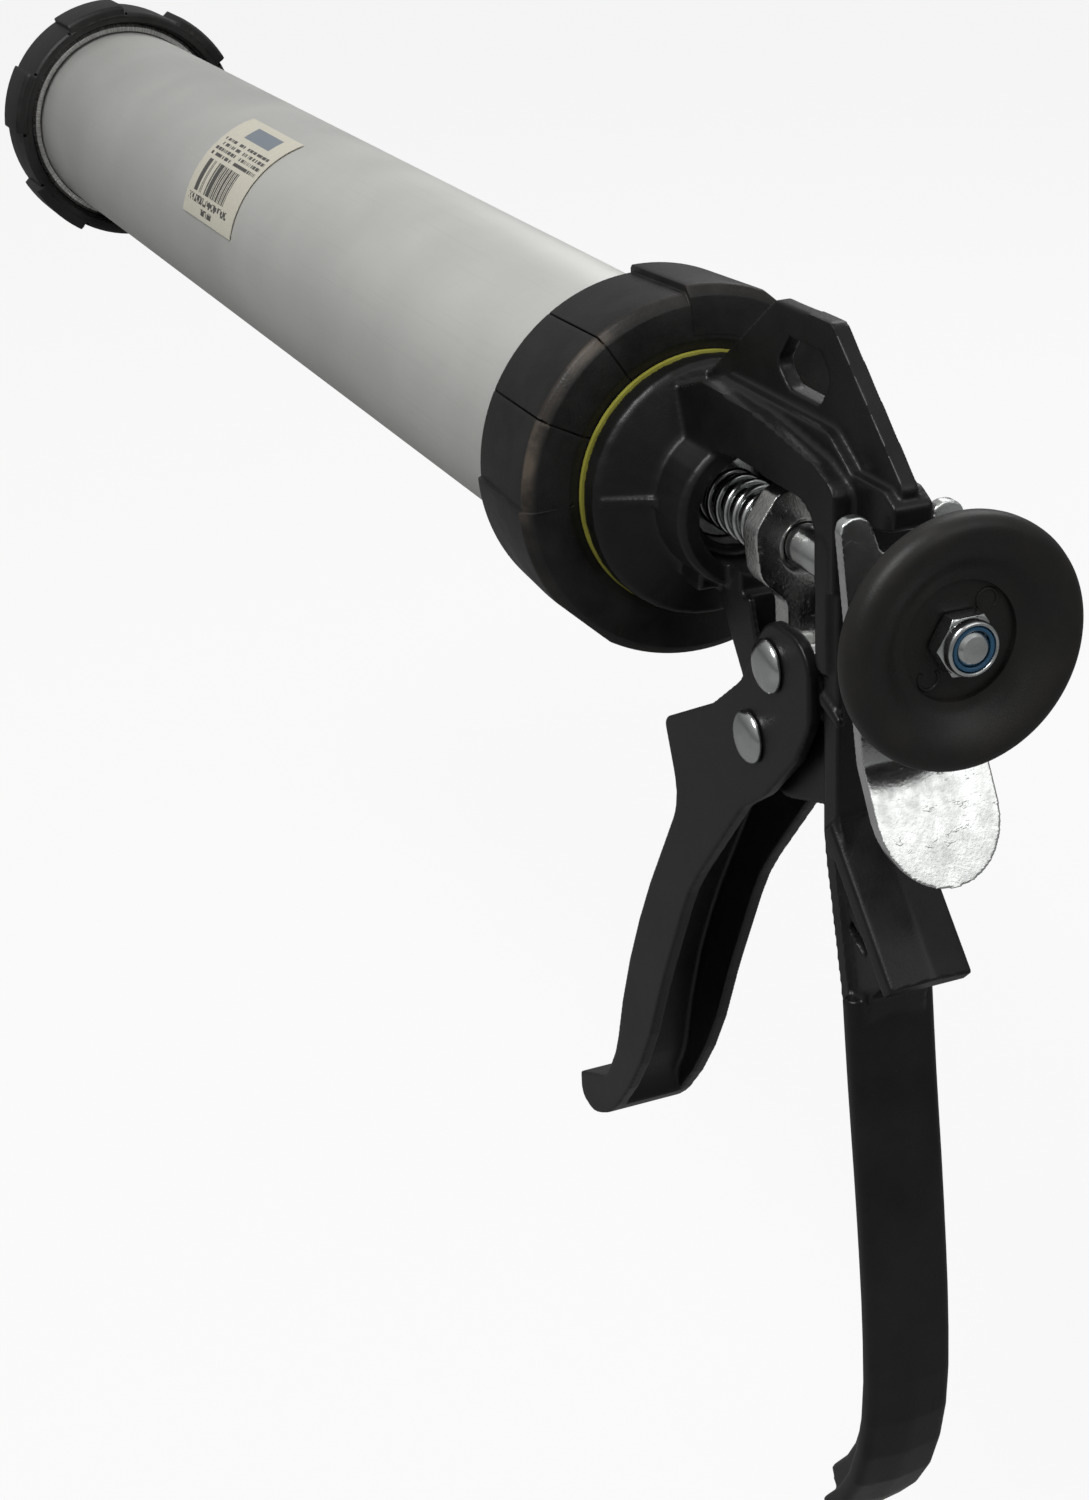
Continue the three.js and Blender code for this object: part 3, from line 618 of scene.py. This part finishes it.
def plain_finish(name, colour_value, roughness, metallic=0.0, bump=0.2):
    """Moulded or machined finish for the small and inner pieces."""
    material, shader, wiring, where = start_finish(name, roughness, metallic)
    grain = place_group(wiring, GROUPS["grain"], Vector=where, Scale=1600.0, Blotch_Scale=150.0)
    darker = tuple(c * 0.82 for c in colour_value)
    skin = wiring.mix(wiring.ramp(grain["Blotch"], 0.35, 0.65), darker, colour_value)
    wiring.feed(shader.inputs["Base Color"], skin)
    gloss = wiring.ramp(grain["Blotch"], 0.3, 0.7, roughness - 0.05, roughness + 0.07)
    wiring.feed(shader.inputs["Roughness"], gloss)
    add_bump(wiring, shader, grain["Height"], bump, 0.0001)
    return material


def thread_finish():
    """Bright rough metal of the threaded ring, streaked along its thread."""
    material, shader, wiring, where = start_finish("Thread Ring Zinc", 0.4, 0.85)
    along, _, angle = round_place(wiring, where)
    cells = wiring.add("ShaderNodeCombineXYZ")
    wiring.feed(cells.inputs[0], wiring.maths("MULTIPLY", along, 0.4))
    wiring.feed(cells.inputs[1], wiring.maths("MULTIPLY", angle, 60.0))
    streak = wiring.noise(cells.outputs[0], 1.2, 3.0, 0.7)
    skin = wiring.mix(wiring.ramp(streak, 0.35, 0.65), (0.4, 0.39, 0.37), (0.85, 0.85, 0.83))
    wiring.feed(shader.inputs["Base Color"], skin)
    wiring.feed(shader.inputs["Roughness"], wiring.ramp(streak, 0.3, 0.7, 0.3, 0.55))
    add_bump(wiring, shader, streak, 0.8, 0.0004)
    return material


def label_finish(settings):
    """Cream label with a bar pattern and rows of dashes that stand for small print."""
    material, shader, wiring, where = start_finish("Printed Paper", 0.55)
    along, _, angle = round_place(wiring, where)
    low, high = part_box("barrel_label")
    start, length = (high.x - SEAT.x) * 1000.0, (high.x - low.x) * 1000.0
    across = wiring.maths("DIVIDE", wiring.maths("SUBTRACT", start, along), length)
    bottom, top = 0.235, 1.35
    upward = wiring.ramp(angle, bottom, top)

    def cell_noise(first, first_count, second, second_count):
        cells = wiring.add("ShaderNodeCombineXYZ")
        wiring.feed(cells.inputs[0], wiring.maths("FLOOR", wiring.maths("MULTIPLY", first, first_count)))
        wiring.feed(cells.inputs[1], wiring.maths("FLOOR", wiring.maths("MULTIPLY", second, second_count)))
        random = wiring.add("ShaderNodeTexWhiteNoise")
        wiring.feed(random.inputs[0], cells.outputs[0])
        return random.outputs[0]

    def patch(left, right, floor, ceiling):
        column = wiring.between(across, left, right)
        return wiring.maths("MULTIPLY", column, wiring.between(upward, floor, ceiling))

    bars = wiring.maths("LESS_THAN", cell_noise(across, 84.0, 0.0, 1.0), 0.5)
    bars = wiring.maths("MULTIPLY", bars, patch(0.09, 0.83, 0.2, 0.49))
    rows = wiring.maths("GREATER_THAN", wiring.maths("FRACT", wiring.maths("MULTIPLY", upward, 18.0)), 0.45)
    dashes = wiring.maths("LESS_THAN", cell_noise(across, 90.0, upward, 18.0), 0.68)
    text = wiring.maths("MULTIPLY", wiring.maths("MULTIPLY", rows, dashes), patch(0.06, 0.46, 0.52, 0.72))
    more = wiring.maths("MULTIPLY", wiring.maths("MULTIPLY", rows, dashes), patch(0.52, 0.95, 0.52, 0.72))
    digits = wiring.maths("LESS_THAN", cell_noise(across, 60.0, upward, 30.0), 0.55)
    digits = wiring.maths("MULTIPLY", digits, patch(0.06, 0.86, 0.115, 0.175))
    code = wiring.maths("LESS_THAN", cell_noise(across, 70.0, upward, 26.0), 0.6)
    code = wiring.maths("MULTIPLY", code, patch(0.34, 0.6, 0.04, 0.09))
    small = wiring.maths("ADD", wiring.maths("ADD", more, digits), code)
    ink = wiring.maths("ADD", wiring.maths("ADD", bars, text), small, clamp=True)
    band = patch(0.28, 0.78, 0.78, 0.93)
    clean = tuple(settings.paper_colour)
    aged = tuple(c * 0.93 for c in clean)
    paper = wiring.mix(wiring.ramp(wiring.noise(where, 700.0), 0.3, 0.7), aged, clean)
    printed = wiring.mix(wiring.maths("MULTIPLY", band, 0.85), paper, (0.16, 0.2, 0.26))
    inked = wiring.mix(wiring.maths("MULTIPLY", ink, 0.9), printed, (0.03, 0.03, 0.035))
    wiring.feed(shader.inputs["Base Color"], inked)
    add_bump(wiring, shader, wiring.noise(where, 1500.0), 0.1, 0.00005)
    return material


FINISHES = {}


class GUN_OT_finishes(bpy.types.Operator):
    """Build the shared shader groups and the gun's finishes"""

    bl_idname = "caulking_gun.finishes"
    bl_label = "Build Finishes"

    def execute(self, context):
        settings = context.scene.gun_settings
        GROUPS.update(grain=build_grain(), scratches=build_scratches(), wear=build_wear())
        FINISHES.update(
            casting=casting_finish(settings),
            nylon=nylon_finish(settings),
            knob=knob_finish(settings),
            barrel=anodised_finish(settings),
            zinc=zinc_finish("Bright Zinc", (0.72, 0.74, 0.73), 0.14, 0.3, 0.15),
            chrome=zinc_finish("Plated Sheet", (0.84, 0.86, 0.84), 0.14, 0.28, 0.25, (1, 0.3, 0.3)),
            sheared=zinc_finish("Sheared Steel", (0.74, 0.74, 0.72), 0.14, 0.3, 0.4, (0.15, 1, 1)),
            thread=thread_finish(),
            washer=plain_finish("Olive Washer", tuple(settings.washer_colour), 0.5),
            insert=plain_finish("Blue Insert", (0.035, 0.13, 0.24), 0.4),
            white=plain_finish("White Nylon", (0.68, 0.68, 0.64), 0.45),
            rubber=plain_finish("Seal Rubber", (0.012, 0.012, 0.012), 0.7),
            paper=label_finish(settings),
        )
        return {"FINISHED"}


# ------------------------------------------------------------------ pieces


class GUN_OT_castings(bpy.types.Operator):
    """Model the cast handle and trigger"""

    bl_idname = "caulking_gun.castings"
    bl_label = "Model Castings"

    def execute(self, context):
        cell = context.scene.gun_settings.casting_grain
        handle = moulded("handle_casting", "handle_body", cell)
        finish_piece(handle, "handle", ["handle_body"], FINISHES["casting"], 60)
        lever = moulded("trigger_casting", "trigger", cell)
        finish_piece(lever, "trigger", ["trigger"], FINISHES["casting"], 60)
        return {"FINISHED"}


class GUN_OT_barrel(bpy.types.Operator):
    """Model the barrel, its rear collar, the swivel washer and the threaded ring"""

    bl_idname = "caulking_gun.barrel"
    bl_label = "Model Barrel"

    def execute(self, context):
        back, front = (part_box("barrel_tube")[k].x for k in (0, 1))
        start, end = ((edge - SEAT.x) / MM for edge in (back, front))
        tube = turned(
            "barrel", [(start, 26.75), (start, 28.5), (end, 28.5), (end, 26.75)], steps=144
        )
        finish_piece(soften(tube), "barrel", ["barrel_tube"], FINISHES["barrel"])
        self.collar()
        washer = turned("washer", [(-0.3, 17.2), (-0.3, 25.6), (0.7, 25.6), (0.7, 17.2)])
        finish_piece(soften(washer, 0.0001), "handle", ["swivel_washer"], FINISHES["washer"])
        crests = [(421, 28.8)]
        for k in range(5):
            crests += [(421.0 + 2 * k, 30.2), (421.8 + 2 * k, 31.0), (422.2 + 2 * k, 31.0)]
        crests += [(431.2, 30.2), (431.2, 28.8)]
        thread = turned("thread", crests)
        finish_piece(thread, "barrel", ["thread_ring"], FINISHES["thread"], 20)
        repaint("barrel_label", FINISHES["paper"])
        return {"FINISHED"}

    def collar(self):
        """Collar with two raised quarters, a flat on each, and fine seams between."""

        def outer(radius):
            return [
                (1, 26.4), (0.6, 27.6), (1, radius - 2), (2.5, radius - 0.3), (3.1, radius),
                (27.2, radius - 1.2), (28, radius - 2),
            ]

        collar = turned("collar", outer(36.3) + [(28, 28.8), (8, 28.8), (8, 17.2), (1, 17.2)], steps=144)
        for k, middle in enumerate((133, 313)):
            lobe = turned(f"lobe_{k}", outer(37) + [(28, 32), (1, 32)], steps=144)
            lobe.data.transform(Matrix.Translation((0, 0, 0.8 * MM)))
            sector(lobe, middle - 45, middle + 45)
            combine(collar, [lobe], "UNION")
            turn = math.radians(middle)
            outward = Vector((0, math.cos(turn), math.sin(turn)))
            split(collar, SEAT + outward * 35.6 * MM, outward)
        seams = []
        for turn in (27, 57):
            seams.append(slab("seam", (40, 20, 0.3), (20.9, 44.6, 0), turn))
            seams.append(slab("face_seam", (0.8, 12, 0.3), (1.0, 31, 0), turn))
        combine(collar, seams, "DIFFERENCE")
        soften(collar, 0.0002, 20)
        finish_piece(collar, "barrel", ["rear_collar"], FINISHES["nylon"], 20)


class GUN_OT_front(bpy.types.Operator):
    """Model the ring nut and the nozzle adaptor"""

    bl_idname = "caulking_gun.front"
    bl_label = "Model Front End"

    def execute(self, context):
        nut = turned(
            "nut",
            [
                (417, 34.3), (418, 35.3), (438.5, 35.3), (440, 33.8), (440, 24), (437.2, 24), (437.2, 31.35),
                (420.6, 31.35), (420, 32.2), (417, 32.2),
            ],
        )
        for k in range(6):
            lug = turned(
                f"lug_{k}",
                [(417, 36.3), (418, 37.3), (434.5, 37.3), (436, 35.8), (436, 33.6), (417, 33.6)],
            )
            middle = 17 + 60 * k
            sector(lug, middle - 15, middle + 15)
            combine(nut, [lug], "UNION")
        soften(nut, 0.0003, 30)
        finish_piece(nut, "ring_nut", ["ring_nut"], FINISHES["nylon"], 30)
        adaptor = turned(
            "adaptor",
            [
                (434.3, 8), (434.3, 30.5), (436.9, 30.5), (436.9, 23), (438, 22.5), (441.6, 22), (442.6, 20.4),
                (444.2, 12.4), (445.4, 11.4), (458, 11), (459, 10), (459, 8),
            ],
        )
        soften(adaptor, 0.0002)
        finish_piece(adaptor, "front_seat", ["nozzle_adaptor"], FINISHES["knob"])
        repaint("adaptor_gasket", FINISHES["rubber"])
        return {"FINISHED"}


class GUN_OT_rod(bpy.types.Operator):
    """Model the push rod, its pull knob and the lock nut"""

    bl_idname = "caulking_gun.rod"
    bl_label = "Model Push Rod"

    def execute(self, context):
        self.shaft()
        self.knob()
        self.nut()
        for node, finish in (
            ("piston_back_washer", "zinc"), ("piston_disc", "white"), ("piston_seal", "rubber"),
            ("piston_front_washer", "zinc"), ("piston_nut", "zinc"),
        ):
            repaint(node, FINISHES[finish])
        return {"FINISHED"}

    def shaft(self):
        profile = [(-100.4, 2.3), (-100.1, 2.6)]
        for k in range(9):
            crest = -99.7 + 0.8 * k
            profile += [(crest, 2.98), (crest + 0.4, 2.55)]
        profile += [(-92.3, 2.98), (-92, 2.98), (-92, 3.9), (-91.8, 4), (403.5, 4), (403.7, 3.8), (403.7, 3)]
        profile += [(420, 3), (420.6, 2.4)]
        rod = turned("rod", profile, solid=True, steps=64)
        finish_piece(rod, "rod", ["piston_rod"], FINISHES["zinc"], 40)

    def knob(self):
        dish = [
            (-94.8, 3.3), (-94.8, 10.45), (-95.75, 10.6), (-95.95, 11.9), (-96.5, 13.1),
            (-97.6, 14.4), (-98.4, 15.6),
            (-99, 17), (-99.38, 18.1), (-99.5, 19.2), (-99.46, 20.1), (-99.2, 20.9), (-98.7, 21.5), (-98, 22),
            (-97.2, 22.25), (-96.4, 22.3), (-95.4, 22.25), (-94.6, 22.1), (-94.0, 21.7), (-93.6, 21.2),
            (-92.9, 15), (-92.4, 9.6), (-92.3, 9), (-92.3, 3.3),
        ]
        knob = turned("pull_disc", dish, steps=128)
        marks = []
        for k, angle in enumerate((2.3, 2.3 + math.pi)):
            middle = place(-94.8, 8.05 * math.cos(angle), 8.05 * math.sin(angle))
            deselect()
            bpy.ops.mesh.primitive_torus_add(
                location=middle, rotation=(0, math.pi / 2, 0), major_radius=1.9 * MM, minor_radius=0.32 * MM,
                major_segments=40, minor_segments=10,
            )
            mark = bpy.context.object
            mark.name = f"knob_mark_{k}"
            settle()
            open_side = Vector((0, math.cos(angle + 2.4), math.sin(angle + 2.4)))
            split(mark, middle + open_side * 1.2 * MM, open_side)
            marks.append(mark)
        combine(knob, marks, "UNION")
        finish_piece(knob, "rod", ["pull_knob"], FINISHES["knob"], 40)

    def nut(self):
        deselect()
        bpy.ops.mesh.primitive_cylinder_add(
            vertices=6, radius=5.9 * MM, depth=3.3 * MM, location=place(-96.75), rotation=(0, math.pi / 2, 0)
        )
        nut = bpy.context.object
        nut.name = "hex_nut"
        settle()
        flats = [(-98.4, 5.25), (-97.9, 6.2), (-95.6, 6.2), (-95.1, 5.25)]
        cone = turned("chamfer", flats, solid=True, steps=64)
        combine(nut, [cone], "INTERSECT")
        crown = turned(
            "crown",
            [
                (-98, 4.9), (-99.6, 4.9), (-100.1, 4.7), (-100.3, 4.35),
                (-100.2, 4.1), (-99.8, 4.0), (-98.6, 4.0), (-98, 4.0),
            ],
            steps=64,
        )
        combine(nut, [crown], "UNION")
        bore = turned("bore", [(-101, 3.3), (-94, 3.3)], solid=True, steps=48)
        combine(nut, [bore], "DIFFERENCE")
        finish_piece(soften(nut, 0.00015, 35), "rod", ["lock_nut"], FINISHES["zinc"], 35)
        sleeve = [
            (-98.9, 3.3), (-99.9, 3.15), (-100.1, 3.35), (-100.05, 3.8), (-99.8, 3.9), (-98.9, 3.9),
        ]
        insert = turned("insert", sleeve, steps=64)
        finish_piece(insert, "rod", ["lock_nut_insert"], FINISHES["insert"], 50)


class GUN_OT_drive(bpy.types.Operator):
    """Model the drive plate, the catch plate, the springs and the rivets"""

    bl_idname = "caulking_gun.drive"
    bl_label = "Model Drive"

    def execute(self, context):
        cell = context.scene.gun_settings.plate_grain
        plate = moulded("grip_plate", "drive_plate", cell, 2)
        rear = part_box("drive_plate")[0]
        # A tenth thinner from the front: the rounded casting stands proud of its relief at full pull.
        thinner = Matrix.Diagonal((0.9, 1.0, 1.0, 1.0))
        plate.data.transform(Matrix.Translation(rear) @ thinner @ Matrix.Translation(-rear))
        finish_piece(plate, "drive", ["drive_plate"], FINISHES["sheared"], 60)
        tab = moulded("thumb_tab", "catch_plate", cell, 2)
        finish_piece(tab, "catch", ["catch_plate"], FINISHES["chrome"], 60)
        spring = self.spring("return_spring", -36.5, -9.7, 5.5, 0.65, 7)
        finish_piece(spring, "handle", ["drive_spring"], FINISHES["zinc"], 60)
        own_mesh(spring)
        small = self.spring("tab_spring", -75.4, -67.6, 5.9, 0.6, 3)
        finish_piece(small, "handle", ["catch_spring"], FINISHES["zinc"], 60)
        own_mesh(small)
        self.rivets()
        for node, finish in (
            ("swivel_retainer", "zinc"), ("retainer_clip", "zinc"), ("rod_bush", "zinc"),
            ("pivot_washer_left", "white"), ("pivot_washer_right", "white"),
        ):
            repaint(node, FINISHES[finish])
        return {"FINISHED"}

    def spring(self, name, start, end, radius, wire, turns):
        """A round wire wound about the rod, with its ends closed."""
        deselect()
        bpy.ops.mesh.primitive_circle_add(
            vertices=12, radius=wire * MM, location=(0, radius * MM, 0)
        )
        piece = bpy.context.object
        piece.name = name
        bpy.ops.object.transform_apply(location=True, rotation=True, scale=True)
        winding = piece.modifiers.new("Winding", "SCREW")
        winding.axis = "X"
        winding.angle = 2 * math.pi * turns
        winding.screw_offset = (end - start - 2 * wire) * MM
        winding.steps = winding.render_steps = turns * 36
        winding.use_merge_vertices = False
        bpy.ops.object.modifier_apply(modifier=winding.name)
        bpy.ops.object.mode_set(mode="EDIT")
        bpy.ops.mesh.select_all(action="SELECT")
        bpy.ops.mesh.fill_holes(sides=0)
        bpy.ops.mesh.normals_make_consistent(inside=False)
        bpy.ops.object.mode_set(mode="OBJECT")
        piece.data.transform(Matrix.Translation(place(start + wire)))
        return piece

    def rivets(self):
        """Domed rivets through both cheeks."""
        for name, node, body, shank in (
            ("pivot_pin", "pivot_rivet", "handle", 3.0), ("push_pin", "drive_pin", "trigger", 2.5),
        ):
            low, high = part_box(node)
            middle = (low + high) / 2 - SEAT
            centre = (middle.x / MM, 0, middle.z / MM)
            dome = [
                (9.5, shank), (9.5, 4.9), (9.6, 5.1), (9.85, 5.15), (10.2, 5.02), (10.65, 4.55), (11.05, 3.7),
                (11.32, 2.6), (11.46, 1.4), (11.5, 0.5),
            ]
            profile = [(-y, r) for y, r in reversed(dome)] + dome
            pin = turned(name, profile, solid=True, along="Y", centre=centre, steps=64)
            finish_piece(pin, body, [node], FINISHES["zinc"], 50)


# ------------------------------------------------------------------ stage


class GUN_OT_stage(bpy.types.Operator):
    """Set up the floor, the lights and the camera"""

    bl_idname = "caulking_gun.stage"
    bl_label = "Set Up Stage"

    def execute(self, context):
        stage = context.scene.stage_settings
        deselect()
        low, high = CAD_BOX
        bpy.ops.mesh.primitive_plane_add(size=12, location=(0, 0, low.z - stage.floor_drop))
        floor = context.object
        floor.name = "studio_floor"
        settle()
        material, shader, wiring, where = start_finish("Pale Floor", 0.9)
        seen = wiring.add("ShaderNodeLightPath").outputs["Is Camera Ray"]
        tint = tuple(stage.floor_colour)
        dim = tuple(c * stage.floor_bounce for c in tint)
        faint = tuple(c * 0.99 for c in tint)
        pale = wiring.mix(wiring.ramp(wiring.noise(where, 30.0), 0.3, 0.7), tint, faint)
        wiring.feed(shader.inputs["Base Color"], wiring.mix(seen, dim, pale))
        glow = wiring.add("ShaderNodeEmission")
        wiring.feed(glow.inputs["Color"], tuple(stage.sky_colour))
        joint = wiring.add("ShaderNodeMixShader")
        wiring.feed(joint.inputs[0], wiring.maths("MULTIPLY", seen, stage.floor_glow))
        wiring.feed(joint.inputs[1], shader.outputs[0])
        wiring.feed(joint.inputs[2], glow.outputs[0])
        wiring.feed(material.node_tree.nodes["Material Output"].inputs["Surface"], joint.outputs[0])
        floor.data.materials.append(material)
        self.lights(context)
        self.camera(context)
        context.scene.view_settings.view_transform = "Standard"
        context.scene.view_settings.look = "None"
        return {"FINISHED"}

    def lights(self, context):
        stage = context.scene.stage_settings
        world = bpy.data.worlds.new("Studio")
        context.scene.world = world
        world.use_nodes = True
        wiring = Wiring(world.node_tree)
        sky = world.node_tree.nodes["Background"]
        seen = wiring.add("ShaderNodeBackground")
        wiring.feed(seen.inputs["Color"], tuple(stage.sky_colour))
        parts = wiring.add("ShaderNodeSeparateXYZ")
        wiring.feed(parts.inputs[0], wiring.add("ShaderNodeTexCoord").outputs["Generated"])
        height = wiring.ramp(parts.outputs[2], -0.1, 0.9)
        wiring.feed(sky.inputs["Color"], wiring.mix(height, (0.32, 0.32, 0.33), tuple(stage.sky_colour)))
        sky.inputs["Strength"].default_value = stage.sky_strength
        joint = wiring.add("ShaderNodeMixShader")
        wiring.feed(joint.inputs[0], wiring.add("ShaderNodeLightPath").outputs["Is Camera Ray"])
        wiring.feed(joint.inputs[1], sky.outputs[0])
        wiring.feed(joint.inputs[2], seen.outputs[0])
        wiring.feed(world.node_tree.nodes["World Output"].inputs["Surface"], joint.outputs[0])
        target = place(20)
        for name, offset, power, size in (
            ("Key", (-0.35, 0.9, 1.4), 16.0, 0.7),
            ("Fill", (-1.1, -0.5, 0.85), 2.3, 0.8),
            ("Rim", (0.9, -0.9, 0.9), 4.0, 0.8),
        ):
            deselect()
            bpy.ops.object.light_add(type="AREA", location=target + Vector(offset))
            lamp = context.object
            lamp.name = name
            lamp.data.energy = power
            lamp.data.size = size
            lamp.rotation_euler = (-Vector(offset)).to_track_quat("-Z", "Y").to_euler()

    def camera(self, context):
        stage = context.scene.stage_settings
        deselect()
        bpy.ops.object.camera_add()
        camera = context.object
        camera.name = "Studio Camera"
        camera.data.lens = stage.lens
        camera.data.sensor_width = 36.0
        camera.data.clip_start = 0.01
        right = Vector((-0.39037, -0.91967, -0.04256))
        up = Vector((0.35699, -0.19382, 0.91378))
        back = Vector((-0.84862, 0.34152, 0.40398))
        turn = Matrix((right, up, back)).transposed().to_4x4()
        camera.matrix_world = Matrix.Translation((-0.37998, 0.21836, 0.28728)) @ turn
        context.scene.camera = camera


STEPS = (
    GUN_OT_finishes,
    GUN_OT_castings,
    GUN_OT_barrel,
    GUN_OT_front,
    GUN_OT_rod,
    GUN_OT_drive,
    GUN_OT_stage,
)


class GUN_PT_builder(bpy.types.Panel):
    """Sizes, colours and the steps that build the gun"""

    bl_idname = "GUN_PT_builder"
    bl_label = "Caulking Gun"
    bl_space_type = "VIEW_3D"
    bl_region_type = "UI"
    bl_category = "Caulking Gun"

    def draw(self, context):
        for settings in (context.scene.gun_settings, context.scene.stage_settings):
            column = self.layout.column()
            for name in settings.__annotations__:
                column.prop(settings, name)
        for step in STEPS:
            self.layout.operator(step.bl_idname)


CLASSES = (GunSettings, StageSettings, *STEPS, GUN_PT_builder)


def register():
    for item in CLASSES:
        bpy.utils.register_class(item)
    bpy.types.Scene.gun_settings = PointerProperty(type=GunSettings)
    bpy.types.Scene.stage_settings = PointerProperty(type=StageSettings)


def unregister():
    del bpy.types.Scene.stage_settings
    del bpy.types.Scene.gun_settings
    for item in reversed(CLASSES):
        bpy.utils.unregister_class(item)


def main():
    register()
    bpy.ops.caulking_gun.finishes()
    bpy.ops.caulking_gun.castings()
    bpy.ops.caulking_gun.barrel()
    bpy.ops.caulking_gun.front()
    bpy.ops.caulking_gun.rod()
    bpy.ops.caulking_gun.drive()
    bpy.ops.caulking_gun.stage()


if __name__ == "__main__":
    main()
